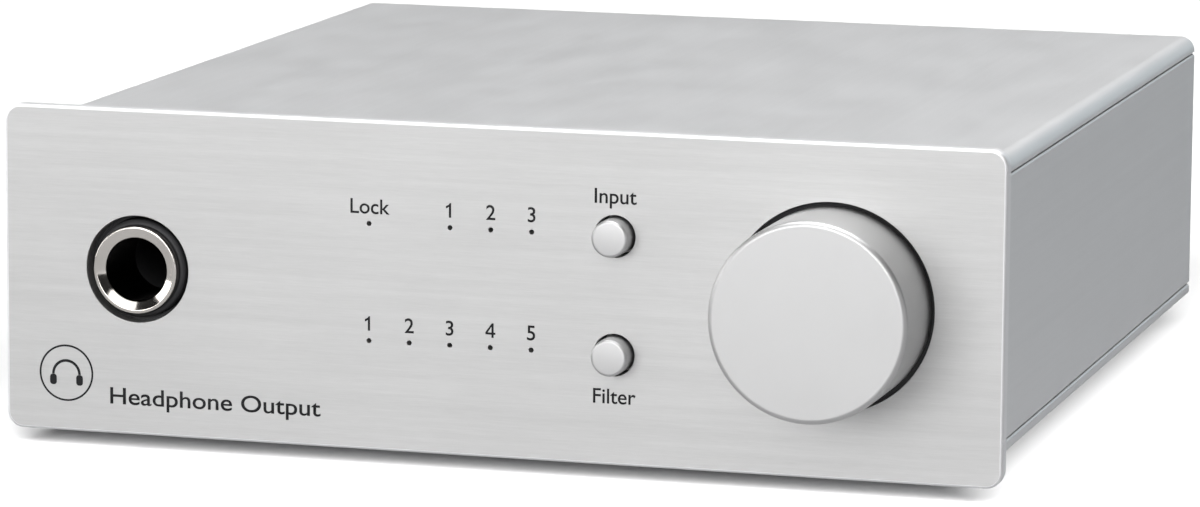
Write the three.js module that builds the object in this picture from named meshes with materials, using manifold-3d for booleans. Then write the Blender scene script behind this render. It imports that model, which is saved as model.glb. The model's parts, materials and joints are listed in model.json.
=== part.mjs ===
// A desktop digital-to-analogue converter with a headphone amplifier.
//
// Millimetres. +X is to the right seen from the front, +Y runs back into the case and +Z is up.
// While the pieces are made, y = 0 is the front face of the fascia and z = 0 is the surface that the
// feet stand on. At the end the whole is moved along Y so that its box is centred on the origin.

import * as THREE from "three";
import { mergeVertices } from "three/addons/utils/BufferGeometryUtils.js";
import Module from "manifold-3d";

const wasm = await Module();
wasm.setup();

// ---------------------------------------------------------------- driving dimensions

const FASCIA = { width: 103, height: 33.1, thickness: 1.8, corner: 1.7, lift: 2 };
const CASE = { width: 99.6, height: 29.6, front: 1.95, back: 107.3 };
const WALL = { top: 1.6, bottom: 1.5, side: 2 };
const SEAM = { gap: 0.14, belowTop: 1.87, aboveBottom: 1.32, chamfer: 0.15 };
const EDGE_RADIUS = { top: 1.6, bottom: 0.5 };
const RIB = { inset: 0.3, width: 1.2, height: 0.95 };
const SUBFRAME = { front: 2, thickness: 1.5, halfWidth: 47.6, notch: 1.5 };
const REAR = { gap: 0.1, thickness: 1.5, inset: 0.5, corner: 1.5 };

// The controls' centre line, above the fascia's lower edge, and the two rows above and below it.
const AXIS_HEIGHT = 16.92;
const ROW_OFFSET = 5.885;

const KNOB = { x: 34.2, radius: 9.85, hole: 10.35, front: -9.4, skirt: 1, round: 0.4 };
const KNOB_INSIDE = { wall: 2.05, floor: -4, hub: 4.4, hubBack: -1.6, boreFront: -6.7 };
const BUTTON = { x: 12.42, radius: 1.85, hole: 2.1, front: -2, round: 0.3, travel: 0.4 };
const BUTTON_FLANGE = { radius: 2.7, thickness: 0.6 };
const SWITCH = { size: 6, setBack: 1.2, plunger: 1.7, well: 1.85, plungerDepth: 1.2, spare: 0.2 };
const LED = { firstX: -12.88, pitch: 4.206, hole: 0.25, window: 0.8 };
const LENS = { radius: 1.5, flange: 1.9, flangeDepth: 0.8, dome: 1.3, setBack: 0.4 };
const JACK = { x: -37.36, hole: 5.425, collar: 4.95, collarFront: 0.3, width: 14, height: 12.9 };
const JACK_BORE = { radius: 3.2, depth: 31, end: 3 };
const FERRULE = { radius: 4.4, tube: 3.9, front: -0.7, back: 7.8, shoulder: 0.2, edge: 0.15, rim: 0.35 };
const FERRULE_CONE = 0.85;
const POT = { bushing: 4.5, bushingFront: -0.9, width: 14, height: 13, depth: 12 };
const SHAFT = { radius: 3, front: -6.5, depth: 6, running: 0.1 };
const NUT = { radius: 6.9, front: 0.3 };
const PIN = { x: 22, offset: 11, radius: 1, root: 0.5, end: 0.2 };

const PORT = { inset: 2.4, radius: 2, bore: 1.3, lowZ: 8.4, highZ: 28.6, front: 3.6, relief: 0.2 };
const WEB = { length: 2.8, height: 3 };
const RAIL = { middle: 0.7, depth: 1.8, height: 1.1 };
const BOARD = { bottom: 10.8, thickness: 1.6, halfWidth: 47.6, front: 11, back: 105.5 };
const FRONT_BOARD = { halfWidth: 17.5, front: 9, thickness: 1.6, bottom: 8, top: 28 };
const HEADER = { halfWidth: 12.7, size: 2.5 };
const CHIP = { x: 0, y: 53, size: 10, height: 1.4 };
const RELAY = { x: -27, width: 10, front: 74, back: 89, height: 8 };
const CAPACITOR = { x: 24, y: [40, 54], radius: 5, height: 12 };

const FOOT = { x: 38, frontY: 24, backY: 92, radius: 5.5, taper: 0.5, recess: 2.6, recessTop: 1.5 };
const SCREW = { shank: 1.2, head: 2.3, crown: 1.3, height: 1.5, length: 8, hole: 1.4 };
const DRIVE = { length: 2.6, width: 0.7, depth: 1.1 };
const SINK = { radius: 2.4, depth: 1.2 };
const FOOT_SCREW = { head: 2.2, height: 1.1, slot: 0.6, above: 0.8 };

const PHONO = { z: 19.5, width: 11, front: 96, collar: 5.2, proud: 1.3, stem: 3.2, stemEnd: 0.8 };
const PHONO_SHELL = { radius: 4.15, bore: 3.35, reach: 10, edge: 0.3 };
const PHONO_PIN = { radius: 1.65, depth: 3 };
const LINE_LEFT_X = -38;
const LINE_RIGHT_X = -25;
const COAX_X = -9;
const OPTICAL = { x: 7, width: 10, front: 94, top: 23.2, proud: 0.7 };
const MOUTH = { size: 6.6, bottom: 14.6, lip: 0.8, depth: 8.2, side: 0.2, below: 0.4, above: 1 };
const SHUTTER = { thickness: 0.7, hinge: 0.4, setBack: 0.6, rise: 0.35, overlap: 0.2 };
const USB = { x: 23, width: 12, height: 10.8, length: 16, proud: 0.3 };
const USB_MOUTH = { width: 8.5, height: 7.8, slope: 1.6, depth: 9.5 };
const USB_TONGUE = { width: 5.6, height: 3.2, setBack: 0.8 };
const DC = { x: 39, width: 9, height: 11, length: 13.5, proud: 0.4 };
const DC_HOLE = { z: 19, radius: 3, depth: 9, pin: 1, pinRoot: 1, pinSetBack: 0.8 };

// Small gaps between neighbours, how far a cutting tool runs past a face, and segments of a turn.
const CLEAR = 0.1;
const CUTOUT_GAP = 0.2;
const PAST = 1;
const ROUND = 36;
const MEDIUM = 20;
const SMALL = 8;

// ---------------------------------------------------------------- levels worked out from them

const fasciaTop = FASCIA.lift + FASCIA.height;
const axisZ = FASCIA.lift + AXIS_HEIGHT;
const upperRow = axisZ + ROW_OFFSET;
const lowerRow = axisZ - ROW_OFFSET;
const caseBottom = FASCIA.lift + (FASCIA.height - CASE.height) / 2;
const caseTop = caseBottom + CASE.height;
const caseHalf = CASE.width / 2;
const sideInner = caseHalf - WALL.side;
const ceiling = caseTop - WALL.top;
const floorTop = caseBottom + WALL.bottom;
const upperSeam = caseTop - SEAM.belowTop;
const lowerSeam = caseBottom + SEAM.aboveBottom;
const portX = sideInner - PORT.inset;
const subframeBack = SUBFRAME.front + SUBFRAME.thickness;
const behindSubframe = subframeBack + CLEAR;
const rearFront = CASE.back + REAR.gap;
const rearBack = rearFront + REAR.thickness;
const boardTop = BOARD.bottom + BOARD.thickness;
const seat = boardTop + CLEAR;
const phonoEnd = rearBack + PHONO_SHELL.reach;

// ---------------------------------------------------------------- solids

// A closed three.js geometry as a manifold-3d solid.
function solidOf(geometry) {
  const bare = geometry.clone();
  bare.deleteAttribute("normal");
  bare.deleteAttribute("uv");
  const merged = mergeVertices(bare, 1e-4);
  const vertProperties = new Float32Array(merged.attributes.position.array);
  const triVerts = new Uint32Array(merged.index.array);
  return new wasm.Manifold(new wasm.Mesh({ numProp: 3, vertProperties, triVerts }));
}

// The triangles of a manifold-3d solid as a three.js geometry.
function geometryOf(solid) {
  const mesh = solid.getMesh();
  const geometry = new THREE.BufferGeometry();
  geometry.setAttribute("position", new THREE.BufferAttribute(mesh.vertProperties, 3));
  geometry.setIndex(new THREE.BufferAttribute(mesh.triVerts, 1));
  geometry.computeVertexNormals();
  return geometry;
}

function join(...pieces) {
  return geometryOf(pieces.map(solidOf).reduce((sum, piece) => sum.add(piece)));
}

function cut(body, ...tools) {
  return geometryOf(tools.map(solidOf).reduce((rest, tool) => rest.subtract(tool), solidOf(body)));
}

// A box from its lowest corner to its highest.
function block([x0, y0, z0], [x1, y1, z1]) {
  const box = new THREE.BoxGeometry(x1 - x0, y1 - y0, z1 - z0);
  return box.translate((x0 + x1) / 2, (y0 + y1) / 2, (z0 + z1) / 2);
}

// A box given by its middle in X, its width, and its spans in Y and Z.
function centredBlock(x, width, [y0, y1], [z0, z1]) {
  return block([x - width / 2, y0, z0], [x + width / 2, y1, z1]);
}

// A round bar along Y.
function bar(x, z, radius, [y0, y1], segments = MEDIUM) {
  return new THREE.CylinderGeometry(radius, radius, y1 - y0, segments).translate(x, (y0 + y1) / 2, z);
}

// A round post along Z, which may taper to another radius at its foot.
function post(x, y, radius, [z0, z1], segments = MEDIUM, footRadius = radius) {
  const upright = new THREE.CylinderGeometry(radius, footRadius, z1 - z0, segments);
  return upright.rotateX(Math.PI / 2).translate(x, y, (z0 + z1) / 2);
}

// A body turned about an axis along Y. The profile's points are [radius, y], from the back to the front.
function turned(profile, x, z, segments = ROUND) {
  const points = profile.map(([radius, y]) => new THREE.Vector2(radius, y));
  return new THREE.LatheGeometry(points.reverse(), segments).translate(x, 0, z);
}

// A flat outline in X and Z, extruded along Y.
function extruded(shape, [y0, y1]) {
  const body = new THREE.ExtrudeGeometry(shape, { depth: y1 - y0, bevelEnabled: false, curveSegments: 6 });
  return body.rotateX(Math.PI / 2).translate(0, y1, 0);
}

// An outline through a list of points.
function outlineOf(points) {
  return new THREE.Shape(points.map(([x, z]) => new THREE.Vector2(x, z)));
}

// A rectangle in X and Z with round corners.
function roundedRectangle(halfWidth, bottom, top, radius) {
  const shape = new THREE.Shape();
  shape.moveTo(-halfWidth + radius, bottom);
  shape.absarc(halfWidth - radius, bottom + radius, radius, -Math.PI / 2, 0);
  shape.absarc(halfWidth - radius, top - radius, radius, 0, Math.PI / 2);
  shape.absarc(-halfWidth + radius, top - radius, radius, Math.PI / 2, Math.PI);
  shape.absarc(-halfWidth + radius, bottom + radius, radius, Math.PI, Math.PI * 1.5);
  return shape;
}

// Points of an arc between two angles in degrees.
function arcPoints(centreX, centreZ, radius, from, to, steps) {
  return Array.from({ length: steps + 1 }, (_, i) => {
    const angle = THREE.MathUtils.degToRad(from + ((to - from) * i) / steps);
    return [centreX + radius * Math.cos(angle), centreZ + radius * Math.sin(angle)];
  });
}

// The rounded edge of a turned piece, from its side to its front face.
function roundedEdge(radius, front, round) {
  return arcPoints(radius - round, front + round, round, 0, -90, 3);
}

// ---------------------------------------------------------------- finishes

const FINISHES = {
  brushedAluminium: { color: 0xd4d4d4, roughness: 0.42, metalness: 1 },
  satinAluminium: { color: 0xc9cacb, roughness: 0.5, metalness: 1 },
  turnedAluminium: { color: 0xdedede, roughness: 0.38, metalness: 1 },
  nickel: { color: 0xc8c2b8, roughness: 0.14, metalness: 1 },
  steel: { color: 0x9a9b9c, roughness: 0.35, metalness: 1 },
  blackSteel: { color: 0x141414, roughness: 0.6, metalness: 0.3 },
  blackPlastic: { color: 0x101011, roughness: 0.4, metalness: 0 },
  whitePlastic: { color: 0xe6e4de, roughness: 0.4, metalness: 0 },
  redPlastic: { color: 0xa01818, roughness: 0.4, metalness: 0 },
  amberPlastic: { color: 0xc8641a, roughness: 0.4, metalness: 0 },
  clearLens: { color: 0xdfe6ea, roughness: 0.15, metalness: 0 },
  circuitBoard: { color: 0x1c5a38, roughness: 0.5, metalness: 0 },
  blackRubber: { color: 0x181818, roughness: 0.85, metalness: 0 },
};

const assembly = new THREE.Group();

function add(name, finish, geometry) {
  const mesh = new THREE.Mesh(geometry, new THREE.MeshStandardMaterial(FINISHES[finish]));
  mesh.name = name;
  assembly.add(mesh);
}

// ---------------------------------------------------------------- places of what repeats

function indicator(name, column, z) {
  return { name, x: LED.firstX + column * LED.pitch, z };
}

const INDICATORS = [
  indicator("led_status", 0, upperRow),
  ...[2, 3, 4].map((column, i) => indicator(`led_input_${i + 1}`, column, upperRow)),
  ...[0, 1, 2, 3, 4].map((column, i) => indicator(`led_filter_${i + 1}`, column, lowerRow)),
];

const BUTTONS = [
  { name: "input", z: upperRow },
  { name: "filter", z: lowerRow },
];

const FEET = [
  { name: "front_left", x: -FOOT.x, y: FOOT.frontY },
  { name: "front_right", x: FOOT.x, y: FOOT.frontY },
  { name: "rear_left", x: -FOOT.x, y: FOOT.backY },
  { name: "rear_right", x: FOOT.x, y: FOOT.backY },
];

const PORT_HEIGHTS = [PORT.lowZ, PORT.highZ];
const REAR_SCREWS = PORT_HEIGHTS.flatMap((z) => [-portX, portX].map((x) => ({ x, z })));

// ---------------------------------------------------------------- fascia and subframe

function fasciaPins(radius, span) {
  const rows = [axisZ - PIN.offset, axisZ + PIN.offset];
  return rows.flatMap((z) => [-PIN.x, PIN.x].map((x) => bar(x, z, radius, span, SMALL)));
}

function makeFascia() {
  const outline = roundedRectangle(FASCIA.width / 2, FASCIA.lift, fasciaTop, FASCIA.corner);
  const plate = extruded(outline, [0, FASCIA.thickness]);
  const through = [-PAST, FASCIA.thickness + PAST];
  const holes = [
    bar(KNOB.x, axisZ, KNOB.hole, through, ROUND),
    bar(JACK.x, axisZ, JACK.hole, through, ROUND),
    ...BUTTONS.map(({ z }) => bar(BUTTON.x, z, BUTTON.hole, through)),
    ...INDICATORS.map(({ x, z }) => bar(x, z, LED.hole, through, SMALL)),
  ];
  const pins = fasciaPins(PIN.radius, [FASCIA.thickness - PIN.root, subframeBack - PIN.end]);
  add("front_panel", "brushedAluminium", join(cut(plate, ...holes), ...pins));
}

// The cone of a countersunk screw's head, from the subframe's front face back.
function sinkCone(x, spare) {
  const { radius, depth } = SINK;
  const cone = new THREE.CylinderGeometry(SCREW.shank + spare, radius + spare, depth, MEDIUM);
  return cone.translate(x, SUBFRAME.front + depth / 2, PORT.highZ);
}

function makeSubframe() {
  const { front, halfWidth, notch } = SUBFRAME;
  const bottom = floorTop + CLEAR;
  const top = ceiling - CLEAR;
  const through = [front - PAST, subframeBack + PAST];
  const notches = [-1, 1].flatMap((side) =>
    [bottom, top].map((z) => centredBlock(side * halfWidth, 2 * notch, through, [z - notch, z + notch])),
  );
  const holes = [
    bar(JACK.x, axisZ, JACK.collar + CLEAR, through, ROUND),
    bar(KNOB.x, axisZ, POT.bushing + CLEAR, through, ROUND),
    ...BUTTONS.map(({ z }) => bar(BUTTON.x, z, BUTTON.hole, through)),
    ...INDICATORS.map(({ x, z }) => bar(x, z, LED.window, through, SMALL)),
    ...[-1, 1].map((side) => bar(side * portX, PORT.highZ, SCREW.hole, through, SMALL)),
    ...[-1, 1].map((side) => sinkCone(side * portX, CLEAR)),
    ...fasciaPins(PIN.radius + CLEAR, through),
  ];
  const plate = block([-halfWidth, front, bottom], [halfWidth, subframeBack, top]);
  add("front_subframe", "blackSteel", cut(plate, ...notches, ...holes));
}

// ---------------------------------------------------------------- case extrusions

// The profile of a cover: a flat plate with rounded long edges, a lip that meets the side panel at the
// seam, and a rib that holds the side panel from inside. side is 1 for the top cover, -1 for the bottom.
function coverProfile({ side, outer, inner, seam, radius }) {
  const lip = seam + (side * SEAM.gap) / 2;
  const ribOuter = sideInner - RIB.inset;
  const ribInner = ribOuter - RIB.width;
  const ribEnd = inner - side * RIB.height;
  const rightHalf = [
    ...arcPoints(caseHalf - radius, outer - side * radius, radius, side * 90, 0, 5),
    [caseHalf, lip + side * SEAM.chamfer],
    [caseHalf - SEAM.chamfer, lip],
    [sideInner, lip],
    [sideInner, inner],
    [ribOuter, inner],
    [ribOuter, ribEnd],
    [ribInner, ribEnd],
    [ribInner, inner],
  ];
  const leftHalf = [...rightHalf].reverse().map(([x, z]) => [-x, z]);
  return outlineOf([...rightHalf, ...leftHalf]);
}

function makeTopCover() {
  const profile = coverProfile({
    side: 1,
    outer: caseTop,
    inner: ceiling,
    seam: upperSeam,
    radius: EDGE_RADIUS.top,
  });
  add("top_cover", "satinAluminium", extruded(profile, [CASE.front, CASE.back]));
}

function makeBottomCover() {
  const profile = coverProfile({
    side: -1,
    outer: caseBottom,
    inner: floorTop,
    seam: lowerSeam,
    radius: EDGE_RADIUS.bottom,
  });
  const through = [caseBottom - PAST, floorTop + PAST];
  const holes = FEET.map(({ x, y }) => post(x, y, PORT.bore, through, SMALL));
  add("bottom_cover", "satinAluminium", cut(extruded(profile, [CASE.front, CASE.back]), ...holes));
}

// The outer wall of a side extrusion, chamfered along both seams.
function sideWall(side) {
  const bottom = lowerSeam + SEAM.gap / 2;
  const top = upperSeam - SEAM.gap / 2;
  const chamferX = caseHalf - SEAM.chamfer;
  const points = [
    [sideInner, bottom],
    [chamferX, bottom],
    [caseHalf, bottom + SEAM.chamfer],
    [caseHalf, top - SEAM.chamfer],
    [chamferX, top],
    [sideInner, top],
  ];
  return extruded(outlineOf(points.map(([x, z]) => [side * x, z])), [CASE.front, CASE.back]);
}

// One side extrusion: the outer wall, two screw ports and the groove that holds the main board.
function makeSidePanel(name, side) {
  const span = [PORT.front, CASE.back - PORT.relief];
  const webX = side * (portX + WEB.length / 2);
  const ports = PORT_HEIGHTS.map((z) => bar(side * portX, z, PORT.radius, span));
  const webs = PORT_HEIGHTS.map((z) =>
    centredBlock(webX, WEB.length, span, [z - WEB.height / 2, z + WEB.height / 2]),
  );
  const railX = side * (sideInner - RAIL.middle);
  const rails = [BOARD.bottom - CLEAR - RAIL.height, boardTop + CLEAR].map((z) =>
    centredBlock(railX, RAIL.depth, span, [z, z + RAIL.height]),
  );
  const boreSpan = [PORT.front - PAST, CASE.back + PAST];
  const bores = PORT_HEIGHTS.map((z) => bar(side * portX, z, PORT.bore, boreSpan, SMALL));
  add(name, "satinAluminium", cut(join(sideWall(side), ...ports, ...webs, ...rails), ...bores));
}

function makeRearPanel() {
  const { inset, corner } = REAR;
  const outline = roundedRectangle(caseHalf - inset, caseBottom + inset, caseTop - inset, corner);
  const through = [rearFront - PAST, rearBack + PAST];
  const cutout = ({ x, width }, bottom, top) =>
    centredBlock(x, width + 2 * CUTOUT_GAP, through, [bottom - CUTOUT_GAP, top + CUTOUT_GAP]);
  const cutouts = [
    ...[LINE_LEFT_X, LINE_RIGHT_X, COAX_X].map((x) => bar(x, PHONO.z, PHONO.collar + CLEAR, through)),
    cutout(OPTICAL, seat, OPTICAL.top),
    cutout(USB, seat, seat + USB.height),
    cutout(DC, seat, seat + DC.height),
    ...REAR_SCREWS.map(({ x, z }) => bar(x, z, SCREW.hole, through, SMALL)),
  ];
  add("rear_panel", "satinAluminium", cut(extruded(outline, [rearFront, rearBack]), ...cutouts));
}

// ---------------------------------------------------------------- screws and feet

// A pan-head screw with a cross recess, driven into the rear panel from behind.
function rearScrew({ x, z }) {
  const headBack = rearBack + SCREW.height;
  const underHead = rearBack + CLEAR;
  const profile = [
    [0, headBack],
    [SCREW.crown, headBack],
    [SCREW.head, (headBack + underHead) / 2],
    [SCREW.head, underHead],
    [SCREW.shank, underHead],
    [SCREW.shank, underHead - SCREW.length],
    [0, underHead - SCREW.length],
  ];
  const recess = [headBack - DRIVE.depth, headBack + PAST];
  const upright = centredBlock(x, DRIVE.width, recess, [z - DRIVE.length / 2, z + DRIVE.length / 2]);
  const level = centredBlock(x, DRIVE.length, recess, [z - DRIVE.width / 2, z + DRIVE.width / 2]);
  return cut(turned(profile, x, z, MEDIUM), upright, level);
}

// A countersunk screw whose head lies in the subframe, just below its front face.
function frameScrew(x) {
  const front = SUBFRAME.front;
  const head = cut(sinkCone(x, 0), bar(x, PORT.highZ, SINK.radius + PAST, [front - PAST, front + CLEAR]));
  return join(head, bar(x, PORT.highZ, SCREW.shank, [front + SINK.depth / 2, front + SCREW.length]));
}

function makeScrews() {
  REAR_SCREWS.forEach((place, i) => add(`rear_screw_${i + 1}`, "steel", rearScrew(place)));
  add("frame_screw_left", "steel", frameScrew(-portX));
  add("frame_screw_right", "steel", frameScrew(portX));
}

function footScrew(x, y) {
  const headTop = FOOT.recessTop - CLEAR;
  const headBottom = headTop - FOOT_SCREW.height;
  const head = post(x, y, FOOT_SCREW.head, [headBottom, headTop], MEDIUM);
  const shank = post(x, y, SCREW.shank, [headTop - CUTOUT_GAP, floorTop + FOOT_SCREW.above], SMALL);
  const slotTop = headBottom + FOOT_SCREW.slot;
  const long = DRIVE.length / 2;
  const narrow = DRIVE.width / 2;
  const slots = [
    block([x - long, y - narrow, headBottom - PAST], [x + long, y + narrow, slotTop]),
    block([x - narrow, y - long, headBottom - PAST], [x + narrow, y + long, slotTop]),
  ];
  return cut(join(head, shank), ...slots);
}

function makeFeet() {
  const top = caseBottom - CLEAR;
  FEET.forEach(({ name, x, y }) => {
    const foot = post(x, y, FOOT.radius, [0, top], MEDIUM, FOOT.radius - FOOT.taper);
    const recess = post(x, y, FOOT.recess, [-PAST, FOOT.recessTop]);
    const bore = post(x, y, PORT.bore, [0, top + PAST], SMALL);
    add(`foot_${name}`, "blackRubber", cut(foot, recess, bore));
    add(`foot_screw_${name}`, "steel", footScrew(x, y));
  });
}

// ---------------------------------------------------------------- volume control

function makeKnob() {
  const { radius, front, skirt, round } = KNOB;
  const { wall, floor, hub, hubBack, boreFront } = KNOB_INSIDE;
  const bore = SHAFT.radius + SHAFT.running;
  const profile = [
    [0, boreFront],
    [bore, boreFront],
    [bore, hubBack],
    [hub, hubBack],
    [hub, floor],
    [radius - wall, floor],
    [radius - wall, skirt],
    [radius, skirt],
    ...roundedEdge(radius, front, round),
    [0, front],
  ];
  add("volume_knob", "turnedAluminium", turned(profile, KNOB.x, axisZ));
}

function makePotentiometer() {
  const shaftBack = behindSubframe + SHAFT.depth;
  add("pot_shaft", "steel", bar(KNOB.x, axisZ, SHAFT.radius, [SHAFT.front, shaftBack]));

  const housingSpan = [behindSubframe, behindSubframe + POT.depth];
  const housing = centredBlock(KNOB.x, POT.width, housingSpan, [seat, seat + POT.height]);
  const bushing = bar(KNOB.x, axisZ, POT.bushing, [POT.bushingFront, behindSubframe + PAST]);
  const boreSpan = [POT.bushingFront - PAST, shaftBack + CUTOUT_GAP];
  const bore = bar(KNOB.x, axisZ, SHAFT.radius + SHAFT.running, boreSpan);
  add("pot_body", "steel", cut(join(housing, bushing), bore));

  const nutBack = SUBFRAME.front - CLEAR;
  const hexagon = bar(KNOB.x, axisZ, NUT.radius, [NUT.front, nutBack], 6);
  const thread = bar(KNOB.x, axisZ, POT.bushing + CLEAR, [NUT.front - PAST, nutBack + PAST]);
  add("pot_nut", "steel", cut(hexagon, thread));
}

// ---------------------------------------------------------------- buttons and indicators

function makeButton({ name, z }) {
  const flangeBack = behindSubframe + BUTTON_FLANGE.thickness;
  const cap = [
    [0, flangeBack],
    [BUTTON_FLANGE.radius, flangeBack],
    [BUTTON_FLANGE.radius, behindSubframe],
    [BUTTON.radius, behindSubframe],
    ...roundedEdge(BUTTON.radius, BUTTON.front, BUTTON.round),
    [0, BUTTON.front],
  ];
  add(`button_${name}`, "turnedAluminium", turned(cap, BUTTON.x, z, MEDIUM));

  const switchFront = flangeBack + SWITCH.setBack;
  const switchSpan = [switchFront, FRONT_BOARD.front - CLEAR];
  const plungerBack = switchFront + SWITCH.plungerDepth;
  const plungerSpan = [flangeBack + CLEAR, plungerBack];
  const wellSpan = [switchFront - PAST, plungerBack + BUTTON.travel + SWITCH.spare];
  const half = SWITCH.size / 2;
  const housing = centredBlock(BUTTON.x, SWITCH.size, switchSpan, [z - half, z + half]);
  const well = bar(BUTTON.x, z, SWITCH.well, wellSpan, MEDIUM);
  add(`plunger_${name}`, "blackPlastic", bar(BUTTON.x, z, SWITCH.plunger, plungerSpan, SMALL));
  add(`switch_${name}`, "blackPlastic", cut(housing, well));
}

function makeIndicator({ name, x, z }) {
  const back = FRONT_BOARD.front - CLEAR;
  const profile = [
    [0, back],
    [LENS.flange, back],
    [LENS.flange, back - LENS.flangeDepth],
    [LENS.radius, back - LENS.flangeDepth],
    ...roundedEdge(LENS.radius, subframeBack + LENS.setBack, LENS.dome),
    [0, subframeBack + LENS.setBack],
  ];
  add(name, "clearLens", turned(profile, x, z, SMALL));
}

// ---------------------------------------------------------------- headphone socket

function makeJackBody() {
  const housingSpan = [behindSubframe, JACK_BORE.depth + JACK_BORE.end];
  const housing = centredBlock(JACK.x, JACK.width, housingSpan, [seat, seat + JACK.height]);
  const collar = bar(JACK.x, axisZ, JACK.collar, [JACK.collarFront, behindSubframe + PAST], ROUND);
  const counterbore = [JACK.collarFront - PAST, FERRULE.back + CUTOUT_GAP];
  const channel = [JACK.collarFront - PAST, JACK_BORE.depth];
  const tools = [
    bar(JACK.x, axisZ, FERRULE.tube + CLEAR, counterbore, ROUND),
    bar(JACK.x, axisZ, JACK_BORE.radius + CLEAR, channel, ROUND),
  ];
  add("jack_body", "blackPlastic", cut(join(housing, collar), ...tools));
}

function makeFerrule() {
  const { radius, tube, front, back, shoulder, edge, rim } = FERRULE;
  const bore = JACK_BORE.radius;
  const profile = [
    [bore, back],
    [tube, back],
    [tube, shoulder],
    [radius, shoulder],
    [radius, front + edge],
    [radius - edge, front],
    [radius - rim, front],
    [bore, front + FERRULE_CONE],
    [bore, back],
  ];
  add("jack_ferrule", "nickel", turned(profile, JACK.x, axisZ));
}

// ---------------------------------------------------------------- circuit boards

function makeBoards() {
  const { halfWidth, front, back, bottom } = BOARD;
  add("main_board", "circuitBoard", block([-halfWidth, front, bottom], [halfWidth, back, boardTop]));
  const frontBack = FRONT_BOARD.front + FRONT_BOARD.thickness;
  const frontSpan = [FRONT_BOARD.front, frontBack];
  const height = [FRONT_BOARD.bottom, FRONT_BOARD.top];
  add("front_board", "circuitBoard", centredBlock(0, 2 * FRONT_BOARD.halfWidth, frontSpan, height));
  const headerSpan = [frontBack + CLEAR, frontBack + CLEAR + HEADER.size];
  const header = centredBlock(0, 2 * HEADER.halfWidth, headerSpan, [seat, seat + HEADER.size]);
  add("board_header", "blackPlastic", header);
}

function makeComponents() {
  const chipSpan = [CHIP.y - CHIP.size / 2, CHIP.y + CHIP.size / 2];
  const relaySpan = [RELAY.front, RELAY.back];
  add("dac_chip", "blackPlastic", centredBlock(CHIP.x, CHIP.size, chipSpan, [seat, seat + CHIP.height]));
  add("relay", "blackPlastic", centredBlock(RELAY.x, RELAY.width, relaySpan, [seat, seat + RELAY.height]));
  CAPACITOR.y.forEach((y, i) => {
    const can = post(CAPACITOR.x, y, CAPACITOR.radius, [seat, seat + CAPACITOR.height]);
    add(`capacitor_${i + 1}`, "blackPlastic", can);
  });
}

// ---------------------------------------------------------------- rear sockets

// One phono socket: a plastic body with its collar and inner stem, and the metal shell round the stem.
function makePhonoSocket(name, finish, x) {
  const collarBack = rearBack + PHONO.proud;
  const housingSpan = [PHONO.front, CASE.back - CLEAR];
  const housing = centredBlock(x, PHONO.width, housingSpan, [seat, PHONO.z + PHONO.width / 2]);
  const collar = bar(x, PHONO.z, PHONO.collar, [CASE.back - PAST, collarBack]);
  const stem = bar(x, PHONO.z, PHONO.stem, [collarBack - PAST, phonoEnd - PHONO.stemEnd]);
  const pinHole = bar(x, PHONO.z, PHONO_PIN.radius, [collarBack - PHONO_PIN.depth, phonoEnd], SMALL);
  add(`${name}_socket`, finish, cut(join(housing, collar, stem), pinHole));

  const { radius, bore, edge } = PHONO_SHELL;
  const profile = [
    [bore, phonoEnd],
    [radius - edge, phonoEnd],
    [radius, phonoEnd - edge],
    [radius, collarBack + CLEAR],
    [bore, collarBack + CLEAR],
    [bore, phonoEnd],
  ];
  add(`${name}_shell`, "nickel", turned(profile, x, PHONO.z, MEDIUM));
}

function makeOpticalSocket() {
  const { x, width, front, top, proud } = OPTICAL;
  const back = rearBack + proud;
  const lipFront = back - MOUTH.lip;
  const mouthTop = MOUTH.bottom + MOUTH.size;
  const hollowSpan = [lipFront - MOUTH.depth, lipFront];
  const hollowHeight = [MOUTH.bottom - MOUTH.below, mouthTop + MOUTH.above];
  const housing = centredBlock(x, width, [front, back], [seat, top]);
  const hollow = centredBlock(x, MOUTH.size + 2 * MOUTH.side, hollowSpan, hollowHeight);
  const mouth = centredBlock(x, MOUTH.size, [lipFront - PAST, back + PAST], [MOUTH.bottom, mouthTop]);
  add("optical_socket", "blackPlastic", cut(housing, hollow, mouth));

  const hingeY = lipFront - SHUTTER.setBack;
  const hingeZ = mouthTop + SHUTTER.rise;
  const half = SHUTTER.thickness / 2;
  const leafHeight = [MOUTH.bottom - SHUTTER.overlap, hingeZ];
  const leaf = centredBlock(x, MOUTH.size, [hingeY - half, hingeY + half], leafHeight);
  const barrel = new THREE.CylinderGeometry(SHUTTER.hinge, SHUTTER.hinge, MOUTH.size, SMALL);
  barrel.rotateZ(Math.PI / 2).translate(x, hingeY, hingeZ);
  add("optical_shutter", "blackPlastic", join(leaf, barrel));
}

function makeUsbSocket() {
  const { x, width, height, length, proud } = USB;
  const middle = seat + height / 2;
  const back = rearBack + proud;
  const mouthFront = back - USB_MOUTH.depth;
  const half = USB_MOUTH.width / 2;
  const bottom = middle - USB_MOUTH.height / 2;
  const top = middle + USB_MOUTH.height / 2;
  const outline = outlineOf([
    [x - half, bottom],
    [x + half, bottom],
    [x + half, top - USB_MOUTH.slope],
    [x + half - USB_MOUTH.slope, top],
    [x - half + USB_MOUTH.slope, top],
    [x - half, top - USB_MOUTH.slope],
  ]);
  const shell = centredBlock(x, width, [back - length, back], [seat, seat + height]);
  add("usb_socket", "nickel", cut(shell, extruded(outline, [mouthFront, back + PAST])));

  const tongueSpan = [mouthFront + CLEAR, back - USB_TONGUE.setBack];
  const rise = USB_TONGUE.height / 2;
  const tongue = centredBlock(x, USB_TONGUE.width, tongueSpan, [middle - rise, middle + rise]);
  add("usb_tongue", "whitePlastic", tongue);
}

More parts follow.
